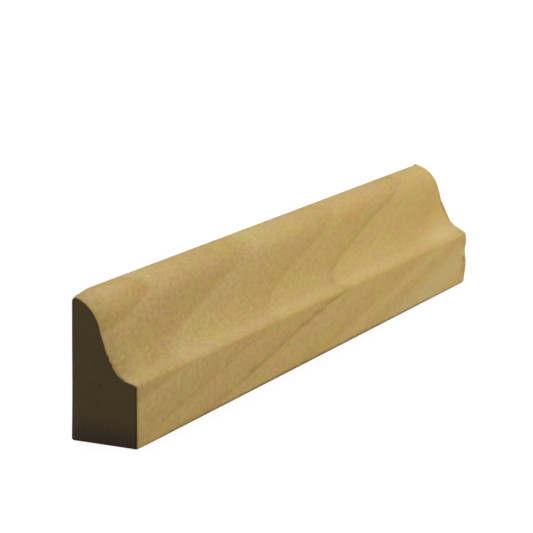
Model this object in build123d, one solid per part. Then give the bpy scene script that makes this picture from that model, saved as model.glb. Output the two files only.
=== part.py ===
from build123d import *
from math import acos, atan2, cos, hypot, radians, sin, sqrt
import os

# A short length of ogee base shoe moulding, planed from one stick of pale hardwood.
# It stands on its bottom edge, with its flat back to the wall.
# X runs along the length, +Y points to the wall and +Z points up.
# The origin is under the middle of the stick, on the floor. All sizes are in millimetres.

# Overall size
LENGTH = 152.4
THICKNESS = 12.7
HEIGHT = 25.4

# The moulded section
FRONT_HEIGHT = 11.1
CROWN_RADIUS = 6.35
CROWN_SETBACK = 0.4
FALL_LENGTH = 4.5
LIP_SLOPE = 20.0

# Eased edges
TOP_EASE = 0.4
LIP_EASE = 0.8
FOOT_EASE = 0.4
END_EASE = 0.2


def crown_centre():
    """Centre of the convex arc, a little behind the wall face, so that the eased top just reaches HEIGHT."""
    reach = CROWN_RADIUS - TOP_EASE
    inset = TOP_EASE + CROWN_SETBACK
    rise = sqrt(reach**2 - inset**2)
    return Vector(THICKNESS / 2 + CROWN_SETBACK, HEIGHT - TOP_EASE - rise)


def cove_radius(crown, lip, lip_normal):
    """Radius of the hollow that leaves the lip at its slope and meets the crown over a straight fall."""
    span = lip - crown
    spare = span.dot(span) - CROWN_RADIUS**2 - FALL_LENGTH**2
    return spare / (2 * (CROWN_RADIUS - span.dot(lip_normal)))


def fall_normal(crown, cove, radius):
    """Outward normal of the straight fall, the inner tangent of the crown and the cove."""
    span = cove - crown
    lean = atan2(span.Y, span.X)
    turn = acos((CROWN_RADIUS + radius) / hypot(span.X, span.Y))
    return Vector(cos(lean - turn), sin(lean - turn))


def ogee_section():
    """The end view of the stick, with Y across and Z up: crown, fall, cove, lip, front, foot and back."""
    back = THICKNESS / 2
    foot_back = Vector(back, 0)
    foot_front = Vector(-back, 0)
    lip = Vector(-back, FRONT_HEIGHT)

    slope = radians(LIP_SLOPE)
    lip_normal = Vector(-sin(slope), cos(slope))
    crown = crown_centre()
    radius = cove_radius(crown, lip, lip_normal)
    cove = lip + lip_normal * radius

    normal = fall_normal(crown, cove, radius)
    fall_head = crown + normal * CROWN_RADIUS
    fall_foot = cove - normal * radius
    uphill = fall_head - fall_foot
    top_back = Vector(back, crown.Y + sqrt(CROWN_RADIUS**2 - CROWN_SETBACK**2))

    outline = Curve() + [
        Line(foot_back, foot_front),
        Line(foot_front, lip),
        TangentArc(fall_foot, lip, tangent=-uphill),
        Line(fall_foot, fall_head),
        TangentArc(fall_head, top_back, tangent=uphill),
        Line(top_back, foot_back),
    ]
    section = make_face(outline)
    for corner, ease in (
        (top_back, TOP_EASE),
        (lip, LIP_EASE),
        (foot_front, FOOT_EASE),
        (foot_back, FOOT_EASE),
    ):
        arris = section.vertices().sort_by_distance(corner)[0]
        section = fillet(arris, ease)
    return section


def shoe_moulding():
    """The section run along X, with its two sawn ends lightly eased."""
    stick = extrude(Plane.YZ * ogee_section(), LENGTH / 2, both=True)
    ends = stick.faces().sort_by(Axis.X)
    return chamfer(ends[0].edges() + ends[-1].edges(), END_EASE)


os.makedirs("parts", exist_ok=True)
export_step(shoe_moulding(), "parts/shoe_moulding.step")
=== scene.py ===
# %% [markdown]
# # A short length of base shoe moulding
# Base shoe is the small trim that covers the joint between a baseboard and the floor.
# This one is planed from a single stick of poplar, so the whole object is one piece.
# The lesson sweeps its section along a straight line, wears the two sawn ends, grows the
# wood's rings through the solid, and lights the stick on a white floor.

# %% Load the frame
import bpy
from collections import namedtuple
from math import acos, atan2, cos, pi, radians, sin, sqrt
from mathutils import Matrix, Vector


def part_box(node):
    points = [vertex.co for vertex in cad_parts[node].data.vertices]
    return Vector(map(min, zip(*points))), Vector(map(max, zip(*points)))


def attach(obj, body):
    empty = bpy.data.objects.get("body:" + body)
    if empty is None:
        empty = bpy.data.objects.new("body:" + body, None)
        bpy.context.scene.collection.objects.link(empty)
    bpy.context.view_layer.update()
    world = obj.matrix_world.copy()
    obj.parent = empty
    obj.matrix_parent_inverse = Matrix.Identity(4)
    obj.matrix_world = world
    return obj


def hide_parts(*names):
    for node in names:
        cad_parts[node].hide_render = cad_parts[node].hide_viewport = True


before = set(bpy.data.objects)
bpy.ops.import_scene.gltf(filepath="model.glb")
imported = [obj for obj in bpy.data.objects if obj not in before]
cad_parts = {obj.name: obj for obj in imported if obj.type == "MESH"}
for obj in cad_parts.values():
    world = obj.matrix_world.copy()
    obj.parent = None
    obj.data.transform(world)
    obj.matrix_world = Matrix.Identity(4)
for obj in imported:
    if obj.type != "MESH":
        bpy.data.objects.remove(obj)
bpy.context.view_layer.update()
MM = 0.001
STICK = "shoe_moulding"
low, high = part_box(STICK)
LENGTH = high.x - low.x
HEIGHT = high.z - low.z
BACK = high.y
FRONT = low.y
print("stick", [round(side / MM, 2) for side in high - low], "mm")

# %% [markdown]
# ## The section
# A moulder's knives cut the section in one pass: a convex crown at the wall, a straight
# steep fall, a hollow cove, and a lip above the flat front. It could be drawn as a long list
# of points, but every stretch is a line or an arc, so a few radii and slopes give it exactly.
# The outline is split at the top of the crown and at the foot, into a moulded front half and
# a flat back half. Each half is a curve that runs upwards, with Y across and Z up.

# %% Sizes of the section
FRONT_HEIGHT = 11.1 * MM
CROWN_RADIUS = 6.35 * MM
CROWN_SETBACK = 0.4 * MM
FALL_LENGTH = 4.5 * MM
LIP_SLOPE = radians(20)
TOP_EASE = 0.4 * MM
LIP_EASE = 0.8 * MM
FOOT_EASE = 0.4 * MM
ARC_STEP = radians(3)


def arc(centre, radius, start, end):
    """Points on an arc from one angle to another, about ARC_STEP apart."""
    steps = max(2, round(abs(end - start) / ARC_STEP))
    angles = [start + (end - start) * step / steps for step in range(steps + 1)]
    return [centre + Vector((cos(angle), sin(angle))) * radius for angle in angles]


def heading(vector):
    """Angle of a flat vector, from 0 to a full turn."""
    return atan2(vector.y, vector.x) % (2 * pi)


print("front", round(FRONT_HEIGHT / MM, 2), "mm high, crown radius", round(CROWN_RADIUS / MM, 2), "mm")

# %% Centres of the arcs
top_centre = Vector((BACK - TOP_EASE, HEIGHT - TOP_EASE))
crown_rise = sqrt((CROWN_RADIUS - TOP_EASE) ** 2 - (TOP_EASE + CROWN_SETBACK) ** 2)
crown_centre = Vector((BACK + CROWN_SETBACK, top_centre.y - crown_rise))

lip = Vector((FRONT, FRONT_HEIGHT))
lip_normal = Vector((-sin(LIP_SLOPE), cos(LIP_SLOPE)))
span = lip - crown_centre
cove_spare = span.dot(span) - CROWN_RADIUS**2 - FALL_LENGTH**2
cove_radius = cove_spare / (2 * (CROWN_RADIUS - span.dot(lip_normal)))
cove_centre = lip + lip_normal * cove_radius

lip_reach = cove_radius + LIP_EASE
lip_inset = FRONT + LIP_EASE - cove_centre.x
lip_centre = Vector((FRONT + LIP_EASE, cove_centre.y - sqrt(lip_reach**2 - lip_inset**2)))

crown_to_cove = cove_centre - crown_centre
fall_turn = acos((CROWN_RADIUS + cove_radius) / crown_to_cove.length)
fall_heading = heading(crown_to_cove) - fall_turn
print("cove radius", round(cove_radius / MM, 2), "mm")

# %% Two halves of the outline
foot_front = Vector((FRONT + FOOT_EASE, FOOT_EASE))
foot_back = Vector((BACK - FOOT_EASE, FOOT_EASE))
lip_to_cove = heading(cove_centre - lip_centre)
cove_to_lip = heading(lip_centre - cove_centre)
cove_to_fall = fall_heading + pi
crown_to_top = heading(top_centre - crown_centre)

front_outline = (
    arc(foot_front, FOOT_EASE, 3 * pi / 2, pi)
    + arc(lip_centre, LIP_EASE, pi, lip_to_cove)
    + arc(cove_centre, cove_radius, cove_to_lip, cove_to_fall)[1:]
    + arc(crown_centre, CROWN_RADIUS, fall_heading, crown_to_top)
    + arc(top_centre, TOP_EASE, crown_to_top, pi / 2)[1:]
)
back_outline = (
    arc(foot_back, FOOT_EASE, -pi / 2, 0)
    + arc(top_centre, TOP_EASE, 0, pi / 2)
)


def outline_curve(name, points):
    """A curve in the YZ plane through the points, to guide the sweep."""
    data = bpy.data.curves.new(name, "CURVE")
    data.dimensions = "3D"
    spline = data.splines.new("POLY")
    spline.points.add(len(points) - 1)
    for target, point in zip(spline.points, points):
        target.co = (0, point.x, point.y, 1)
    guide = bpy.data.objects.new(name, data)
    bpy.context.scene.collection.objects.link(guide)
    return guide


front_guide = outline_curve("front_outline", front_outline)
back_guide = outline_curve("back_outline", back_outline)
print("outline points", len(front_outline), "front,", len(back_outline), "back")

# %% [markdown]
# ## One way to add a node
# Both the shape and the wood are node trees. One small function adds any node: it sets the
# node's options, links an input that is given a socket, and sets an input that is given a value.
# An input goes by its name, or by its number where a node has several of one name.

# %% Add a node
MATH = "ShaderNodeMath"
VECTOR = "ShaderNodeVectorMath"
RANGE = "ShaderNodeMapRange"
NOISE = "ShaderNodeTexNoise"
MIX = "ShaderNodeMix"


def add(tree, kind, inputs=None, **settings):
    """Adds a node of any kind and returns its outputs."""
    node = tree.nodes.new(kind)
    for name, value in settings.items():
        setattr(node, name, value)
    for key, value in (inputs or {}).items():
        if isinstance(value, bpy.types.NodeSocket):
            tree.links.new(value, node.inputs[key])
        else:
            node.inputs[key].default_value = value
    return node.outputs


def linear(hex_colour):
    """An sRGB hex colour as the linear colour that shaders take."""
    parts = [int(hex_colour[i:i + 2], 16) / 255 for i in (1, 3, 5)]
    return (*[c / 12.92 if c <= 0.04045 else ((c + 0.055) / 1.055) ** 2.4 for c in parts], 1.0)


print("middle grey as a linear colour", [round(part, 3) for part in linear("#808080")])

# %% [markdown]
# ## The wood: planed poplar
# Poplar is pale and fine grained. A tree lays down one ring a year around its pith, light in
# spring and darker by autumn, and a sawn stick cuts through those layers. The pattern could be
# painted on each face, but then the faces wouldn't agree at the edges. Here the rings are real
# cylinders about a pith line outside the stick, so each cut face shows its own slice of them.

# %% Where the stick lay in the log
PITH_POINT = Vector((0, -95.5, 179.8)) * MM
PITH_RISE = radians(11.7)
PITH_SWING = radians(2.9)
wood = bpy.data.materials.new("planed_poplar")
wood.use_nodes = True
wood_tree = wood.node_tree
wood_tree.nodes.clear()

place = add(wood_tree, "ShaderNodeTexCoord")["Object"]
log = add(
    wood_tree, "ShaderNodeMapping",
    {"Vector": place, "Location": PITH_POINT, "Rotation": (0, -PITH_RISE, PITH_SWING)},
    vector_type="TEXTURE",
)[0]
across = add(wood_tree, VECTOR, {0: log, 1: (0, 1, 1)}, operation="MULTIPLY")[0]
pith_distance = add(wood_tree, VECTOR, {0: across}, operation="LENGTH")["Value"]


def grain_noise(along, across, detail):
    """Noise in patches of a given length along the grain and width across it."""
    cell = add(wood_tree, VECTOR, {0: log, 1: (along, across, across)}, operation="DIVIDE")[0]
    return add(wood_tree, NOISE, {"Vector": cell, "Scale": 1, "Detail": detail})["Fac"]


def reach_from(centre, size):
    """Distance from a place on the stick, counted in sizes of a patch there, both in millimetres."""
    offset = add(wood_tree, VECTOR, {0: place, 1: Vector(centre) * MM}, operation="SUBTRACT")[0]
    share = add(wood_tree, VECTOR, {0: offset, 1: Vector(size) * MM}, operation="DIVIDE")[0]
    return add(wood_tree, VECTOR, {0: share}, operation="LENGTH")["Value"]


print("pith", [round(side / MM, 1) for side in PITH_POINT], "mm from the origin")

# %% [markdown]
# ### Growth rings
# No two years are alike: some rings end in a thin dark line, some fade into the next. A striped
# texture would make them all the same, so each ring is listed, in millimetres: the distance from
# the pith at which it starts, how wide the step into it is, and its tones in spring, in summer,
# in autumn and in the thin line at its end. A colour ramp over the distance blends them.
# The rings sway a little, as they do in any tree, so the distance gets a slow noise first, and
# three broad waves where the grain bulges.

# %% The rings by year
PALE = "#C3A66F"
GREEN_PALE = "#BFA56E"
SAGE = "#BCA571"
HONEY_PALE = "#BFA46A"
HONEY = "#BDA065"
STRAW = "#BB9E63"
ROSE_TAN = "#BA9B65"
TAN = "#B89A61"
RED_TAN = "#B9995E"
BROWN = "#B6985D"
DARK_BROWN = "#AC8F54"
Ring = namedtuple("Ring", "start step spring summer autumn line")
RINGS = [
    Ring(168.6, 0.5, PALE, PALE, RED_TAN, BROWN),
    Ring(174.5, 0.3, PALE, ROSE_TAN, BROWN, ROSE_TAN),
    Ring(180.0, 0.35, GREEN_PALE, HONEY, TAN, BROWN),
    Ring(185.6, 0.3, HONEY, STRAW, TAN, DARK_BROWN),
    Ring(190.1, 0.3, HONEY, HONEY, RED_TAN, RED_TAN),
    Ring(198.1, 1.0, HONEY, HONEY_PALE, TAN, TAN),
    Ring(203.6, 2.4, SAGE, SAGE, STRAW, TAN),
    Ring(209.8, 0.6, SAGE, STRAW, TAN, TAN),
]
BARK = Ring(217.0, 0.5, PALE, STRAW, TAN, TAN)
print("rings", len(RINGS), "from", RINGS[0].start, "to", BARK.start, "mm from the pith")

# %% Sway and waves
SWAY_ALONG = 60 * MM
SWAY_ACROSS = 10 * MM
RING_SWAY = 0.5 * MM
sway = grain_noise(SWAY_ALONG, SWAY_ACROSS, 2)
shift = add(wood_tree, RANGE, {"Value": sway, "To Min": -RING_SWAY, "To Max": RING_SWAY})[0]
age = add(wood_tree, MATH, {0: pith_distance, 1: shift}, operation="ADD")[0]

front_mm, back_mm, height_mm = FRONT / MM, BACK / MM, HEIGHT / MM
Wave = namedtuple("Wave", "place size lift")
WAVES = [
    Wave((70, back_mm, 27), (50, 30, 12), -1.3),
    Wave((12, front_mm, 11), (60, 3, 1.6), -0.5),
    Wave((-8, front_mm, 8.5), (22, 3, 3.0), 0.2),
]
for wave in WAVES:
    wave_reach = reach_from(wave.place, wave.size)
    lift = add(
        wood_tree, RANGE, {"Value": wave_reach, "To Min": wave.lift * MM, "To Max": 0.0},
        interpolation_type="SMOOTHSTEP",
    )[0]
    age = add(wood_tree, MATH, {0: age, 1: lift}, operation="ADD")[0]
print("waves", [wave.lift for wave in WAVES], "mm high")

# %% Colour by distance from the pith
SUMMER_SHARE = 0.45
LINE_WIDTH = 0.7
inner, outer = RINGS[0].start * MM, BARK.start * MM
age_share = add(wood_tree, RANGE, {"Value": age, "From Min": inner, "From Max": outer})[0]
ring_tone = add(wood_tree, "ShaderNodeValToRGB", {"Fac": age_share})[0]
stops = []
for ring, after in zip(RINGS, [*RINGS[1:], BARK]):
    ring_end = after.start - after.step
    autumn_start = ring_end - LINE_WIDTH
    stops += [
        (ring.start, ring.spring),
        (ring.start + (autumn_start - ring.start) * SUMMER_SHARE, ring.summer),
        (autumn_start, ring.autumn),
        (ring_end, ring.line),
    ]
ring_ramp = ring_tone.node.color_ramp
for distance, tone in stops[1:-1]:
    stop = ring_ramp.elements.new((distance * MM - inner) / (outer - inner))
    stop.color = linear(tone)
ring_ramp.elements[0].color = linear(stops[0][1])
ring_ramp.elements[-1].color = linear(stops[-1][1])
print("ring tones", len(ring_ramp.elements), "stops in the ramp")

# %% [markdown]
# ### Fibres, flecks and mottle
# Up close the wood is made of fine fibres along the grain, paler and darker in turn, and of short
# flecks where the planer has cut across them, stronger at the near end. Over both lie longer
# patches, greener or pinker. One noise, stretched along the grain by a different length and width
# each time, gives all three. Fibres are far finer than a pixel, so they are drawn wider here.

# %% Three noises along the grain
FIBRE_LENGTH, FIBRE_WIDTH = 11 * MM, 0.4 * MM
FLECK_LENGTH, FLECK_WIDTH = 1.3 * MM, 0.65 * MM
PATCH_LENGTH, PATCH_WIDTH = 8 * MM, 2.2 * MM
fibre = grain_noise(FIBRE_LENGTH, FIBRE_WIDTH, 3)
fleck = grain_noise(FLECK_LENGTH, FLECK_WIDTH, 4)
patch = grain_noise(PATCH_LENGTH, PATCH_WIDTH, 2)
print("flecks", FLECK_LENGTH / MM, "by", FLECK_WIDTH / MM, "mm")

# %% Greener and pinker patches
PATCH_MIDDLE, PATCH_SPREAD = 0.5, 0.25
Patch = namedtuple("Patch", "colour full share")
GREENISH = Patch("#B4A55F", PATCH_MIDDLE + PATCH_SPREAD, 0.55)
PINKISH = Patch("#BD9A70", PATCH_MIDDLE - PATCH_SPREAD, 0.65)
mottled = ring_tone
for tint in (GREENISH, PINKISH):
    tint_share = add(
        wood_tree, RANGE,
        {"Value": patch, "From Min": PATCH_MIDDLE, "From Max": tint.full, "To Max": tint.share},
    )[0]
    mottled = add(
        wood_tree, MIX, {0: tint_share, 6: mottled, 7: linear(tint.colour)}, data_type="RGBA",
    )[2]
print("patches", PATCH_LENGTH / MM, "by", PATCH_WIDTH / MM, "mm")

# %% Shade of the fibres and flecks
NOISE_LOW, NOISE_HIGH = 0.3, 0.7
FIBRE_DEPTH = 0.02
FLECK_NEAR, FLECK_FAR = 0.104, 0.06
fibre_shade = add(
    wood_tree, RANGE,
    {
        "Value": fibre, "From Min": NOISE_LOW, "From Max": NOISE_HIGH,
        "To Min": 1 - FIBRE_DEPTH, "To Max": 1 + FIBRE_DEPTH,
    },
)[0]
place_along = add(wood_tree, "ShaderNodeSeparateXYZ", {0: place})["X"]
fleck_depth = add(
    wood_tree, RANGE,
    {
        "Value": place_along, "From Min": low.x, "From Max": high.x,
        "To Min": FLECK_NEAR, "To Max": FLECK_FAR,
    },
)[0]
fleck_side = add(
    wood_tree, RANGE,
    {"Value": fleck, "From Min": NOISE_LOW, "From Max": NOISE_HIGH, "To Min": -1.0, "To Max": 1.0},
)[0]
fleck_shade = add(
    wood_tree, MATH, {0: fleck_side, 1: fleck_depth, 2: 1.0}, operation="MULTIPLY_ADD",
)[0]
shade = add(wood_tree, MATH, {0: fibre_shade, 1: fleck_shade}, operation="MULTIPLY")[0]
streaked = add(wood_tree, VECTOR, {0: mottled, "Scale": shade}, operation="SCALE")[0]
print("flecks shade the wood by", FLECK_NEAR, "at the near end and", FLECK_FAR, "at the far end")

# %% [markdown]
# ### Sawn ends
# A saw cuts across the fibres, so the ends are darker and rougher: the open tubes of the wood
# swallow light. A second material could be put on the end faces, but the wear has rounded their
# edges, so the change has to be soft. The mesh carries it as an attribute instead: end_grain is
# how much a face looks along the stick.

# %% Ends
END_WOOD = "#A98F5E"
END_COVER = 0.75
END_START, END_FULL = 0.6, 0.97
end_facing = add(wood_tree, "ShaderNodeAttribute", attribute_name="end_grain")["Fac"]
end_share = add(
    wood_tree, RANGE, {"Value": end_facing, "From Min": END_START, "From Max": END_FULL},
    interpolation_type="SMOOTHSTEP",
)[0]
end_tone = add(
    wood_tree, MIX, {0: END_COVER, 6: streaked, 7: linear(END_WOOD)}, data_type="RGBA",
)[2]
ended = add(wood_tree, MIX, {0: end_share, 6: streaked, 7: end_tone}, data_type="RGBA")[2]
print("end grain", END_WOOD, "over", END_COVER, "of the wood's own colour")

# %% [markdown]
# ### Stains and painted light
# A stick picks up marks of its own, and some of these patches paint light and shade instead. The
# crown has rusty patches, and pale places at its two ends. The front has two grey mineral specks,
# dark accents on one ring's line, a painted highlight just under the lip and painted shade along its
# foot. The low part of the cove is painted paler, as the top lamp would brighten it, with a paler
# patch near the far end. The near end has a dark speck and painted shade at its foot. Marks could be
# painted by hand, but then they couldn't be moved by a number. Here each is a soft round patch with a
# place and a size in millimetres, made uneven by the flecks.

# %% Stains and painted light
StainAndLightPatch = namedtuple("StainAndLightPatch", "place size colour strength")
RUST_STAIN = "#B98542"
MINERAL_STAIN = "#9A925C"
LINE_STAIN = "#8B7148"
# Painted highlight: a golden band on the front just under the lip, where the lip's rounded edge catches
# the light.
PAINTED_LIP_HIGHLIGHT = "#BE9F50"
# A pale tone: along the low part of the cove it is painted light, where the top lamp would brighten it;
# elsewhere it makes paler patches.
PALE_TONE_AND_PAINTED_LIGHT = "#CBB083"
# Painted shade: a dark line along the front's foot, where the eased edge faces the floor and gets
# little light.
PAINTED_FOOT_SHADE = "#57512F"
# Painted shade: the near end darker towards its foot, where little light reaches it.
PAINTED_END_FOOT_SHADE = "#7A5A5F"
DARK_SPECK = "#453836"
near_mm = low.x / MM
STAINS_AND_PAINTED_LIGHT = [
    StainAndLightPatch((28.5, 1.0, 21.9), (7.5, 2.6, 1.9), RUST_STAIN, 0.33),
    StainAndLightPatch((36, 1.6, 22.9), (6, 2.0, 1.5), RUST_STAIN, 0.28),
    StainAndLightPatch((-58.5, 1.9, 23.2), (4.5, 1.8, 1.7), RUST_STAIN, 0.28),
    StainAndLightPatch((56, front_mm, 8.1), (4, 1.2, 1.5), MINERAL_STAIN, 0.4),
    StainAndLightPatch((9, front_mm, 8.8), (1.8, 1.0, 0.8), MINERAL_STAIN, 0.25),
    StainAndLightPatch((-32, front_mm, 4.1), (5, 1.0, 0.7), LINE_STAIN, 0.25),
    StainAndLightPatch((-9.6, front_mm, 8.05), (5, 1.0, 0.7), LINE_STAIN, 0.3),
    StainAndLightPatch((-2.8, front_mm, 9.05), (5, 1.0, 0.7), LINE_STAIN, 0.3),
    StainAndLightPatch((3.5, front_mm, 10.2), (5, 1.0, 0.7), LINE_STAIN, 0.3),
    # Painted highlight along the front just under the lip.
    StainAndLightPatch((0, -6.25, 10.9), (130, 0.9, 0.8), PAINTED_LIP_HIGHLIGHT, 0.25),
    # Painted light: the low part of the cove paler along the whole stick, as the top lamp would make
    # it.
    StainAndLightPatch((0, -4.6, 11.9), (160, 1.8, 1.0), PALE_TONE_AND_PAINTED_LIGHT, 0.22),
    StainAndLightPatch((66, -3.8, 12.3), (18, 3.0, 1.8), PALE_TONE_AND_PAINTED_LIGHT, 0.35),
    StainAndLightPatch((-67, 3.8, 24.6), (9, 3.0, 1.6), PALE_TONE_AND_PAINTED_LIGHT, 0.22),
    StainAndLightPatch((57.5, 3.8, 24.8), (8, 2.6, 1.4), HONEY, 0.55),
    # Painted shade along the front's foot.
    StainAndLightPatch((0, front_mm, 0), (150, 1.0, 1.0), PAINTED_FOOT_SHADE, 0.85),
    # Painted shade low on the near end.
    StainAndLightPatch((near_mm, 0, -0.5), (1.0, 30, 6.0), PAINTED_END_FOOT_SHADE, 0.6),
    StainAndLightPatch((near_mm, 0.9, 10.1), (0.7, 0.7, 0.7), DARK_SPECK, 0.22),
]
print("stains", len(STAINS_AND_PAINTED_LIGHT))

# %% Lay the stains and painted light over the wood
MARK_CORE, MARK_EDGE = 0.3, 1.2
MARK_UNEVEN = 0.4
stained_and_painted_light = ended
for listed_patch in STAINS_AND_PAINTED_LIGHT:
    listed_patch_reach = reach_from(listed_patch.place, listed_patch.size)
    uneven = add(
        wood_tree, MATH, {0: fleck, 1: MARK_UNEVEN, 2: listed_patch_reach}, operation="MULTIPLY_ADD",
    )[0]
    cover = add(
        wood_tree, RANGE,
        {
            "Value": uneven, "From Min": MARK_CORE, "From Max": MARK_EDGE,
            "To Min": listed_patch.strength, "To Max": 0.0,
        },
        interpolation_type="SMOOTHSTEP",
    )[0]
    stained_and_painted_light = add(
        wood_tree, MIX, {0: cover, 6: stained_and_painted_light, 7: linear(listed_patch.colour)}, data_type="RGBA",
    )[2]
print("wood nodes so far", len(wood_tree.nodes))

# %% [markdown]
# ### Torn fibres
# Where the saw has broken the edge, clean wood shows, a deeper orange than the planed face. The
# mesh carries this as a second attribute: torn is how badly the edge is broken there. The flecks
# are added to it before it is cut off, so that the torn place gets a ragged border.

# %% Torn fibres
TORN_WOOD = "#B48B47"
TORN_START, TORN_FULL = 0.75, 1.15
torn = add(wood_tree, "ShaderNodeAttribute", attribute_name="torn")["Fac"]
ragged = add(wood_tree, MATH, {0: torn, 1: fleck}, operation="ADD")[0]
torn_share = add(
    wood_tree, RANGE, {"Value": ragged, "From Min": TORN_START, "From Max": TORN_FULL},
    interpolation_type="SMOOTHSTEP",
)[0]
colour = add(
    wood_tree, MIX, {0: torn_share, 6: stained_and_painted_light, 7: linear(TORN_WOOD)}, data_type="RGBA",
)[2]
print("torn wood", TORN_WOOD)

# %% [markdown]
# ### Sheen and relief
# Planed wood without a finish has a faint, broad sheen that follows its fibres, and the sawn ends
# have none. The relief is only a few thousandths of a millimetre, so it is left to bump: flecks
# on the planed faces, and on the ends the lines that the saw's teeth left.

# %% Relief
FLECK_RELIEF = 0.008 * MM
SAW_RELIEF = 0.005 * MM
SAW_STEP = 1.3 * MM
SAW_WANDER = 4.0
# A wave texture repeats 20 times in a length of two pi at a scale of one.
saw_scale = 2 * pi / 20 / SAW_STEP
saw_lines = add(
    wood_tree, "ShaderNodeTexWave",
    {"Vector": place, "Scale": saw_scale, "Distortion": SAW_WANDER, "Detail": 3},
    bands_direction="Z",
)["Fac"]
fleck_height = add(wood_tree, MATH, {0: fleck, 1: FLECK_RELIEF}, operation="MULTIPLY")[0]
saw_height = add(wood_tree, MATH, {0: saw_lines, 1: SAW_RELIEF}, operation="MULTIPLY")[0]
height = add(
    wood_tree, RANGE, {"Value": end_share, "To Min": fleck_height, "To Max": saw_height},
)[0]
relief = add(wood_tree, "ShaderNodeBump", {"Height": height, "Distance": 1.0, "Strength": 1.0})[0]
print("saw lines", SAW_STEP / MM, "mm apart")

# %% Sheen
SMOOTH_FIBRE, ROUGH_FIBRE = 0.52, 0.68
SAWN_ROUGHNESS = 0.85
DRY_WOOD_SPECULAR = 0.03
planed_gloss = add(
    wood_tree, RANGE, {"Value": fibre, "To Min": SMOOTH_FIBRE, "To Max": ROUGH_FIBRE},
)[0]
gloss = add(
    wood_tree, RANGE, {"Value": end_share, "To Min": planed_gloss, "To Max": SAWN_ROUGHNESS},
)[0]
surface = add(
    wood_tree, "ShaderNodeBsdfPrincipled",
    {
        "Base Color": colour, "Roughness": gloss,
        "Specular IOR Level": DRY_WOOD_SPECULAR, "Normal": relief,
    },
)[0]
add(wood_tree, "ShaderNodeOutputMaterial", {"Surface": surface})
print("wood nodes", len(wood_tree.nodes))

# %% [markdown]
# ## The stick
# The section runs unchanged along the stick, so the shape follows a rule: every point is a
# place along the length, a height on the outline and a share of the way from front to back.
# The tree starts from a unit box of points and moves each one to the place the rule gives.
# The points crowd towards the two ends, where the saw has left the finest shapes.

# %% Inputs of the stick's tree
POINTS_ALONG, POINTS_ACROSS, POINTS_UP = 150, 36, 210
stick_tree = bpy.data.node_groups.new("run_of_moulding", "GeometryNodeTree")
stick_inputs = {}
for name, kind in (
    ("Front outline", "NodeSocketObject"),
    ("Back outline", "NodeSocketObject"),
    ("Length", "NodeSocketFloat"),
    ("Wear", "NodeSocketFloat"),
    ("Wear reach", "NodeSocketFloat"),
    ("Arris", "NodeSocketFloat"),
    ("Arris reach", "NodeSocketFloat"),
    ("Wood", "NodeSocketMaterial"),
):
    stick_inputs[name] = stick_tree.interface.new_socket(name, in_out="INPUT", socket_type=kind)
stick_tree.interface.new_socket("Stick", in_out="OUTPUT", socket_type="NodeSocketGeometry")
given = add(stick_tree, "NodeGroupInput")
unit_box = add(
    stick_tree, "GeometryNodeMeshCube",
    {"Vertices X": POINTS_ALONG, "Vertices Y": POINTS_ACROSS, "Vertices Z": POINTS_UP},
)["Mesh"]
unit_place = add(stick_tree, "GeometryNodeInputPosition")[0]
share = add(stick_tree, VECTOR, {0: unit_place, 1: (0.5, 0.5, 0.5)}, operation="ADD")[0]
share_along, share_across, share_up = add(stick_tree, "ShaderNodeSeparateXYZ", {0: share}).values()
print("inputs of the stick", list(stick_inputs))

# %% Place along the length
turn = add(stick_tree, RANGE, {"Value": share_along, "To Min": -pi / 2, "To Max": pi / 2})[0]
crowded = add(stick_tree, MATH, {0: turn}, operation="SINE")[0]
half = add(stick_tree, MATH, {0: given["Length"], 1: 0.5}, operation="MULTIPLY")[0]
along = add(stick_tree, MATH, {0: crowded, 1: half}, operation="MULTIPLY")[0]
from_middle = add(stick_tree, MATH, {0: along}, operation="ABSOLUTE")[0]
from_end = add(stick_tree, MATH, {0: half, 1: from_middle}, operation="SUBTRACT")[0]
from_near = add(stick_tree, MATH, {0: along, 1: half}, operation="ADD")[0]
print("points", POINTS_ALONG, "along,", POINTS_ACROSS, "across and", POINTS_UP, "up")

# %% [markdown]
# ### Worn ends
# Both sawn edges are softened a little. Handling has also rubbed the near end's moulded edge back,
# less on the flat front and not at all low on the back. The far end is torn: the saw has lifted
# some fibres and broken others away. This could be sculpted by hand, but a rule keeps it even and
# easy to change. The rubbing is deepest at the end and runs out along the stick as a square, which
# leaves no line where it starts. Each torn place is a shallow bowl, or a bump where its depth is
# negative. It is listed, in millimetres, with its end of the stick, its place across and up, how
# far inside the end it lies, its spread over the section, its reach along the stick, its depth,
# and a share for how broken its wood looks.

# %% The rounding of the ends
WEAR, WEAR_REACH = 0.9 * MM, 6.0 * MM
ARRIS, ARRIS_REACH = 0.15 * MM, 0.4 * MM


def run_out(distance, depth, reach):
    """A depth that is full at the end of the stick and fades as a square over its reach."""
    nearness = add(
        stick_tree, RANGE, {"Value": distance, "From Max": reach, "To Min": 1.0, "To Max": 0.0},
    )[0]
    square = add(stick_tree, MATH, {0: nearness, 1: nearness}, operation="MULTIPLY")[0]
    return add(stick_tree, MATH, {0: square, 1: depth}, operation="MULTIPLY")[0]


rounding = run_out(from_near, given["Wear"], given["Wear reach"])
arris = run_out(from_end, given["Arris"], given["Arris reach"])
print("near end rubbed by", WEAR / MM, "mm over", WEAR_REACH / MM, "mm")

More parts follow.
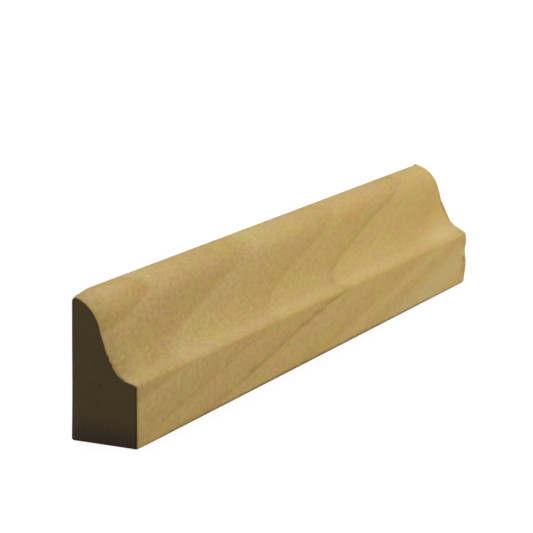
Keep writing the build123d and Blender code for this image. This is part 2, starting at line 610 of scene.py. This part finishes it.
# %% Torn places
NEAR, FAR = -1, 1
Tear = namedtuple("Tear", "end across up inside spread reach depth broken")
TEARS = [
    Tear(FAR, front_mm, 5.6, 1.4, 1.0, 1.6, 0.1, 0.6),
    Tear(FAR, front_mm, 3.2, 1.9, 2.0, 2.2, 0.05, 0.42),
    Tear(FAR, front_mm, 9.3, 0.0, 1.4, 2.0, -0.22, 0.2),
    Tear(FAR, front_mm, 4.2, 0.0, 2.6, 2.0, -0.3, 0.2),
    Tear(FAR, front_mm, 0.2, 0.0, 1.0, 2.0, 0.1, 0.1),
    Tear(FAR, -6.1, 11.2, 0.0, 1.0, 2.0, -0.15, 0.0),
    Tear(FAR, -4.8, 11.8, 0.0, 1.3, 2.0, -0.25, 0.1),
    Tear(FAR, -1.3, 15.6, 0.0, 2.4, 2.0, -0.25, 0.0),
    Tear(FAR, -1.0, 16.0, 0.3, 3.2, 1.6, 0.0, 0.75),
    Tear(FAR, -0.2, 18.4, 0.0, 1.0, 1.0, 0.1, 0.3),
    Tear(FAR, back_mm, height_mm, 0.0, 0.8, 1.0, -0.25, 0.3),
    Tear(NEAR, -6.1, 11.1, 0.0, 1.0, 6.0, -0.15, 0.0),
    Tear(NEAR, back_mm, 24.9, 0.0, 0.9, 6.0, 0.3, 0.0),
    Tear(NEAR, back_mm, 24.9, 0.0, 0.6, 1.5, 0.3, 0.0),
    Tear(NEAR, -1.15, 15.8, 0.0, 0.5, 4.0, -0.2, 0.0),
    Tear(NEAR, -1.9, 14.5, 0.0, 0.5, 4.0, -0.2, 0.0),
]


def sum_of_tears(outline_place):
    """Depth of all the torn places at a point of the outline, and how broken the wood is there."""
    depth, broken = 0.0, 0.0
    for tear in TEARS:
        centre = Vector((0, tear.across, tear.up)) * MM
        away = add(stick_tree, VECTOR, {0: outline_place, 1: centre}, operation="DISTANCE")["Value"]
        away_share = add(stick_tree, MATH, {0: away, 1: tear.spread * MM}, operation="DIVIDE")[0]
        away_square = add(stick_tree, MATH, {0: away_share, 1: 2.0}, operation="POWER")[0]
        seat = add(stick_tree, MATH, {0: along, 1: -tear.end, 2: half}, operation="MULTIPLY_ADD")[0]
        inside = add(stick_tree, MATH, {0: seat, 1: tear.inside * MM}, operation="SUBTRACT")[0]
        inside_share = add(stick_tree, MATH, {0: inside, 1: tear.reach * MM}, operation="DIVIDE")[0]
        inside_size = add(stick_tree, MATH, {0: inside_share}, operation="ABSOLUTE")[0]
        inside_square = add(stick_tree, MATH, {0: inside_size, 1: 2.0}, operation="POWER")[0]
        squares = add(stick_tree, MATH, {0: away_square, 1: inside_square}, operation="ADD")[0]
        fall_off = add(stick_tree, MATH, {0: 1.0, 1: squares}, operation="SUBTRACT")[0]
        bowl = add(stick_tree, MATH, {0: fall_off, 1: 0.0}, operation="MAXIMUM")[0]
        depth = add(
            stick_tree, MATH, {0: bowl, 1: tear.depth * MM, 2: depth}, operation="MULTIPLY_ADD",
        )[0]
        broken = add(
            stick_tree, MATH, {0: bowl, 1: tear.broken, 2: broken}, operation="MULTIPLY_ADD",
        )[0]
    return depth, broken


print("torn places", len(TEARS))

# %% [markdown]
# ### Two sides of the section
# The tree reads a point from each half of the outline, wears it, and blends from the front one to
# the back one. How far the near end is rubbed depends on the height, so a float curve gives it for
# each half, with a fine noise to fray it. The rubbing and the tears push a point towards a core
# line on the back, and the softened edge pushes it towards the middle, so that no face folds.

# %% Two sides of the section
CORE_HEIGHT = 8 * MM
FRAY_SIZE = 1.0 * MM
FRAY = 0.2
FRONT_WEAR = (
    (0, 0.1), (9.5, 0.2), (10.7, 0.3), (11.6, 0.8), (13.2, 1.05), (15.2, 0.85),
    (18, 0.95), (21.5, 1.1), (23.5, 0.95), (24.6, 0.75), (height_mm, 0.6),
)
BACK_WEAR = ((0, 0), (22, 0), (height_mm, 0.6))
MOST_WEAR = 1.5
core = Vector((0, BACK, CORE_HEIGHT))
middle = Vector((0, 0, CORE_HEIGHT))


def moved_towards(spot, target, distance):
    """A point moved by a distance in a straight line towards a target."""
    way = add(stick_tree, VECTOR, {0: target, 1: spot}, operation="SUBTRACT")[0]
    unit_way = add(stick_tree, VECTOR, {0: way}, operation="NORMALIZE")[0]
    move = add(stick_tree, VECTOR, {0: unit_way, "Scale": distance}, operation="SCALE")[0]
    return add(stick_tree, VECTOR, {0: spot, 1: move}, operation="ADD")[0]


def outline_side(outline, wear_by_height):
    """Points of one half of the outline, worn at the ends, and how broken the wood is there."""
    guide = add(stick_tree, "GeometryNodeObjectInfo", {"Object": given[outline]})["Geometry"]
    spot = add(
        stick_tree, "GeometryNodeSampleCurve", {"Curves": guide, "Factor": share_up},
        mode="FACTOR", use_all_curves=True,
    )["Position"]
    level = add(stick_tree, "ShaderNodeSeparateXYZ", {0: spot})["Z"]
    level_share = add(stick_tree, MATH, {0: level, 1: HEIGHT}, operation="DIVIDE")[0]
    worn_share = add(stick_tree, "ShaderNodeFloatCurve", {"Value": level_share})[0]
    wear_curve = worn_share.node.mapping.curves[0]
    wear_curve.points[0].location = (0, wear_by_height[0][1] / MOST_WEAR)
    wear_curve.points[1].location = (1, wear_by_height[-1][1] / MOST_WEAR)
    for level_mm, amount in wear_by_height[1:-1]:
        wear_curve.points.new(level_mm * MM / HEIGHT, amount / MOST_WEAR)
    worn_share.node.mapping.update()
    exposed = add(stick_tree, MATH, {0: worn_share, 1: MOST_WEAR}, operation="MULTIPLY")[0]
    fray_noise = add(
        stick_tree, NOISE, {"Vector": spot, "Scale": 1 / FRAY_SIZE, "Detail": 2},
    )["Fac"]
    fray = add(stick_tree, RANGE, {"Value": fray_noise, "To Min": 1 - FRAY, "To Max": 1 + FRAY})[0]
    rubbed = add(stick_tree, MATH, {0: rounding, 1: exposed}, operation="MULTIPLY")[0]
    frayed = add(stick_tree, MATH, {0: rubbed, 1: fray}, operation="MULTIPLY")[0]
    depth, broken = sum_of_tears(spot)
    inset = add(stick_tree, MATH, {0: frayed, 1: depth}, operation="ADD")[0]
    worn = moved_towards(spot, core, inset)
    return moved_towards(worn, middle, arris), broken


front_side, front_broken = outline_side("Front outline", FRONT_WEAR)
back_side = outline_side("Back outline", BACK_WEAR)[0]
print("core of the section", CORE_HEIGHT / MM, "mm up")

# %% [markdown]
# ### Sweep
# Now every point of the box has its place: a blend between the two sides, moved along the stick.
# Before the move the tree stores how torn the front edge is, while each point still knows its
# share of the way to the back. After it, the tree welds the box's edges and stores how much each
# face looks along the stick.

# %% Sweep and finish
TEAR_SHARE = 0.08
WELD = 0.001 * MM
near_front = add(
    stick_tree, RANGE,
    {"Value": share_across, "From Max": TEAR_SHARE, "To Min": 1.0, "To Max": 0.0},
)[0]
broken = add(stick_tree, MATH, {0: front_broken, 1: near_front}, operation="MULTIPLY")[0]
torn_box = add(
    stick_tree, "GeometryNodeStoreNamedAttribute",
    {"Geometry": unit_box, "Name": "torn", "Value": broken},
    data_type="FLOAT", domain="POINT",
)[0]
section_place = add(
    stick_tree, MIX, {0: share_across, 4: front_side, 5: back_side}, data_type="VECTOR",
)[1]
along_place = add(stick_tree, "ShaderNodeCombineXYZ", {"X": along})[0]
swept_place = add(stick_tree, VECTOR, {0: section_place, 1: along_place}, operation="ADD")[0]
swept = add(
    stick_tree, "GeometryNodeSetPosition", {"Geometry": torn_box, "Position": swept_place},
)[0]
merged = add(stick_tree, "GeometryNodeMergeByDistance", {"Geometry": swept, "Distance": WELD})[0]
normal = add(stick_tree, "GeometryNodeInputNormal")[0]
normal_x = add(stick_tree, "ShaderNodeSeparateXYZ", {0: normal})["X"]
facing_end = add(stick_tree, MATH, {0: normal_x}, operation="ABSOLUTE")[0]
marked = add(
    stick_tree, "GeometryNodeStoreNamedAttribute",
    {"Geometry": merged, "Name": "end_grain", "Value": facing_end},
    data_type="FLOAT", domain="POINT",
)[0]
smooth = add(stick_tree, "GeometryNodeSetShadeSmooth", {"Geometry": marked})[0]
real = add(stick_tree, "GeometryNodeRealizeInstances", {"Geometry": smooth})[0]
painted = add(
    stick_tree, "GeometryNodeSetMaterial", {"Geometry": real, "Material": given["Wood"]},
)[0]
add(stick_tree, "NodeGroupOutput", {"Stick": painted})
print("stick nodes", len(stick_tree.nodes))

# %% [markdown]
# ### A plain mesh
# A modifier is live: it runs again whenever something changes, and other programs can't read it.
# So the tree runs once on an empty helper object, and its result is kept as a plain mesh that
# takes the place of the plain solid. The inputs go in by their identifiers before that first run.

# %% A plain mesh in the solid's place
maker = bpy.data.objects.new("stick_maker", bpy.data.meshes.new("stick_maker"))
bpy.context.scene.collection.objects.link(maker)
sweep = maker.modifiers.new("sweep", "NODES")
sweep.node_group = stick_tree
for name, value in (
    ("Front outline", front_guide),
    ("Back outline", back_guide),
    ("Length", LENGTH),
    ("Wear", WEAR),
    ("Wear reach", WEAR_REACH),
    ("Arris", ARRIS),
    ("Arris reach", ARRIS_REACH),
    ("Wood", wood),
):
    sweep[stick_inputs[name].identifier] = value
graph = bpy.context.evaluated_depsgraph_get()
stick_mesh = bpy.data.meshes.new_from_object(
    maker.evaluated_get(graph), preserve_all_data_layers=True, depsgraph=graph,
)
stick = bpy.data.objects.new("shoe_moulding_stick", stick_mesh)
bpy.context.scene.collection.objects.link(stick)
for helper in (maker, front_guide, back_guide):
    bpy.data.objects.remove(helper)
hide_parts(STICK)
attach(stick, "root")
print("stick faces", len(stick_mesh.polygons), [a.name for a in stick_mesh.attributes])

# %% [markdown]
# ## The white floor
# The stick stands on a plain white floor. A white floor could be lit until it is white, but
# that would bleach the wood. Here the camera sees a floor that already glows almost white, and
# the lamps add the rest, so that the stick's soft shadow still shows on it. To rays that light
# the stick, the floor is a dark grey sheet that throws little back.

# %% Floor
FLOOR_SIZE = 6.0
FLOOR_GLOW = 0.95
GLOW_START, GLOW_END = 0.08, 0.3
FLOOR_BOUNCE = "#4E5058"
floor_material = bpy.data.materials.new("white_paper_floor")
floor_material.use_nodes = True
floor_tree = floor_material.node_tree
floor_tree.nodes.clear()


def seen_directly(tree):
    """One for rays from the camera, a gloss or a clear surface, and zero for rays that light things."""
    path = add(tree, "ShaderNodeLightPath")
    seen = path["Is Camera Ray"]
    for ray in ("Is Glossy Ray", "Is Transmission Ray"):
        seen = add(tree, MATH, {0: seen, 1: path[ray]}, operation="MAXIMUM")[0]
    return seen


matte = add(floor_tree, "ShaderNodeBsdfDiffuse", {"Color": linear(FLOOR_BOUNCE)})[0]
floor_place = add(floor_tree, "ShaderNodeTexCoord")["Object"]
floor_radius = add(floor_tree, VECTOR, {0: floor_place}, operation="LENGTH")["Value"]
floor_glow = add(
    floor_tree, RANGE,
    {
        "Value": floor_radius, "From Min": GLOW_START, "From Max": GLOW_END,
        "To Min": FLOOR_GLOW, "To Max": 1.0,
    },
    interpolation_type="SMOOTHSTEP",
)[0]
glow = add(floor_tree, "ShaderNodeEmission", {"Strength": floor_glow})[0]
lit = add(floor_tree, "ShaderNodeAddShader", {0: matte, 1: glow})[0]
floor_shader = add(
    floor_tree, "ShaderNodeMixShader", {0: seen_directly(floor_tree), 1: matte, 2: lit},
)[0]
add(floor_tree, "ShaderNodeOutputMaterial", {"Surface": floor_shader})
print("floor nodes", len(floor_tree.nodes))

# %% A sheet of floor
reach = FLOOR_SIZE / 2
corners = [(-reach, -reach, 0), (reach, -reach, 0), (reach, reach, 0), (-reach, reach, 0)]
floor_mesh = bpy.data.meshes.new("floor")
floor_mesh.from_pydata(corners, [], [(0, 1, 2, 3)])
floor_mesh.materials.append(floor_material)
floor = bpy.data.objects.new("floor", floor_mesh)
bpy.context.scene.collection.objects.link(floor)
print("floor", FLOOR_SIZE, "m square")

# %% [markdown]
# ## The white room
# Past the floor's edge the camera sees the world. It is white to the eye and nearly dark as a
# light, so that the lamps alone shape the stick.

# %% World
AMBIENT = 0.02
world = bpy.data.worlds.new("white_room")
bpy.context.scene.world = world
world.use_nodes = True
world_tree = world.node_tree
world_tree.nodes.clear()
seen = seen_directly(world_tree)
level = add(world_tree, RANGE, {"Value": seen, "To Min": AMBIENT, "To Max": 1.0})[0]
backdrop = add(world_tree, "ShaderNodeBackground", {"Color": (1, 1, 1, 1), "Strength": level})[0]
add(world_tree, "ShaderNodeOutputWorld", {"Surface": backdrop})
print("ambient light", AMBIENT)

# %% [markdown]
# ## The lamps
# Three lamps light the stick. A large one above and a little behind brightens the crown and the
# cove, a weaker one behind the left end lifts the near end out of black, and a small low one at
# the front fills the fall and the front. The near end faces away from the last and stays dark.
# Each lamp is a softbox at the same distance from the stick, given by how high it stands and how
# far it is turned from the stick's right end towards its front, both in degrees, and by its size
# in metres and its power in watts.

# %% Lamps
LAMP_DISTANCE = 0.6
DAYLIGHT = "#E6EEF8"
WARM_WHITE = "#FFFCF2"
STICK_MIDDLE = Vector((0, 0, HEIGHT / 2))


def softbox(name, elevation, turn, size, power, colour):
    """A square lamp that faces the middle of the stick."""
    rise, swing = radians(elevation), radians(turn)
    way = Vector((cos(rise) * cos(swing), -cos(rise) * sin(swing), sin(rise)))
    data = bpy.data.lights.new(name, "AREA")
    data.size = size
    data.energy = power
    data.color = linear(colour)[:3]
    lamp = bpy.data.objects.new(name, data)
    lamp.location = STICK_MIDDLE + way * LAMP_DISTANCE
    lamp.rotation_mode = "QUATERNION"
    lamp.rotation_quaternion = (-way).to_track_quat("-Z", "Y")
    bpy.context.scene.collection.objects.link(lamp)
    return lamp


softbox("top_softbox", 75, -60, 0.3, 3.34, DAYLIGHT)
softbox("back_softbox", 50, -130, 0.3, 1.1, DAYLIGHT)
softbox("front_softbox", 5, 70, 0.12, 3.11, WARM_WHITE)

# %% [markdown]
# ## The camera
# A long lens looks along the stick from its left end, a little above it. A camera could be pointed
# with a constraint, but the picture's slight roll would be lost. So its three directions are built
# from a yaw, a pitch and a roll, which then make one matrix.

# %% Camera
CAMERA_PLACE = Vector((-416.86, -189.44, 112.93)) * MM
CAMERA_YAW = radians(25.17)
CAMERA_PITCH = radians(11.879)
CAMERA_ROLL = radians(1.08)
CAMERA_LENS = 162.95
SENSOR = 36.0
CLIP_START, CLIP_END = 0.01, 20
ahead = Vector((
    cos(CAMERA_YAW) * cos(CAMERA_PITCH), sin(CAMERA_YAW) * cos(CAMERA_PITCH), -sin(CAMERA_PITCH),
))
right = Vector((sin(CAMERA_YAW), -cos(CAMERA_YAW), 0))
up = right.cross(ahead)
rolled_right = right * cos(CAMERA_ROLL) + up * sin(CAMERA_ROLL)
rolled_up = up * cos(CAMERA_ROLL) - right * sin(CAMERA_ROLL)
camera_data = bpy.data.cameras.new("camera")
camera_data.lens = CAMERA_LENS
camera_data.sensor_width = SENSOR
camera_data.clip_start = CLIP_START
camera_data.clip_end = CLIP_END
camera = bpy.data.objects.new("camera", camera_data)
turned = Matrix((rolled_right, rolled_up, -ahead)).transposed().to_4x4()
camera.matrix_world = Matrix.Translation(CAMERA_PLACE) @ turned
bpy.context.scene.collection.objects.link(camera)
bpy.context.scene.camera = camera
bpy.context.scene.view_settings.view_transform = "Standard"
print("camera", round((CAMERA_PLACE - STICK_MIDDLE).length, 3), "m from the stick")
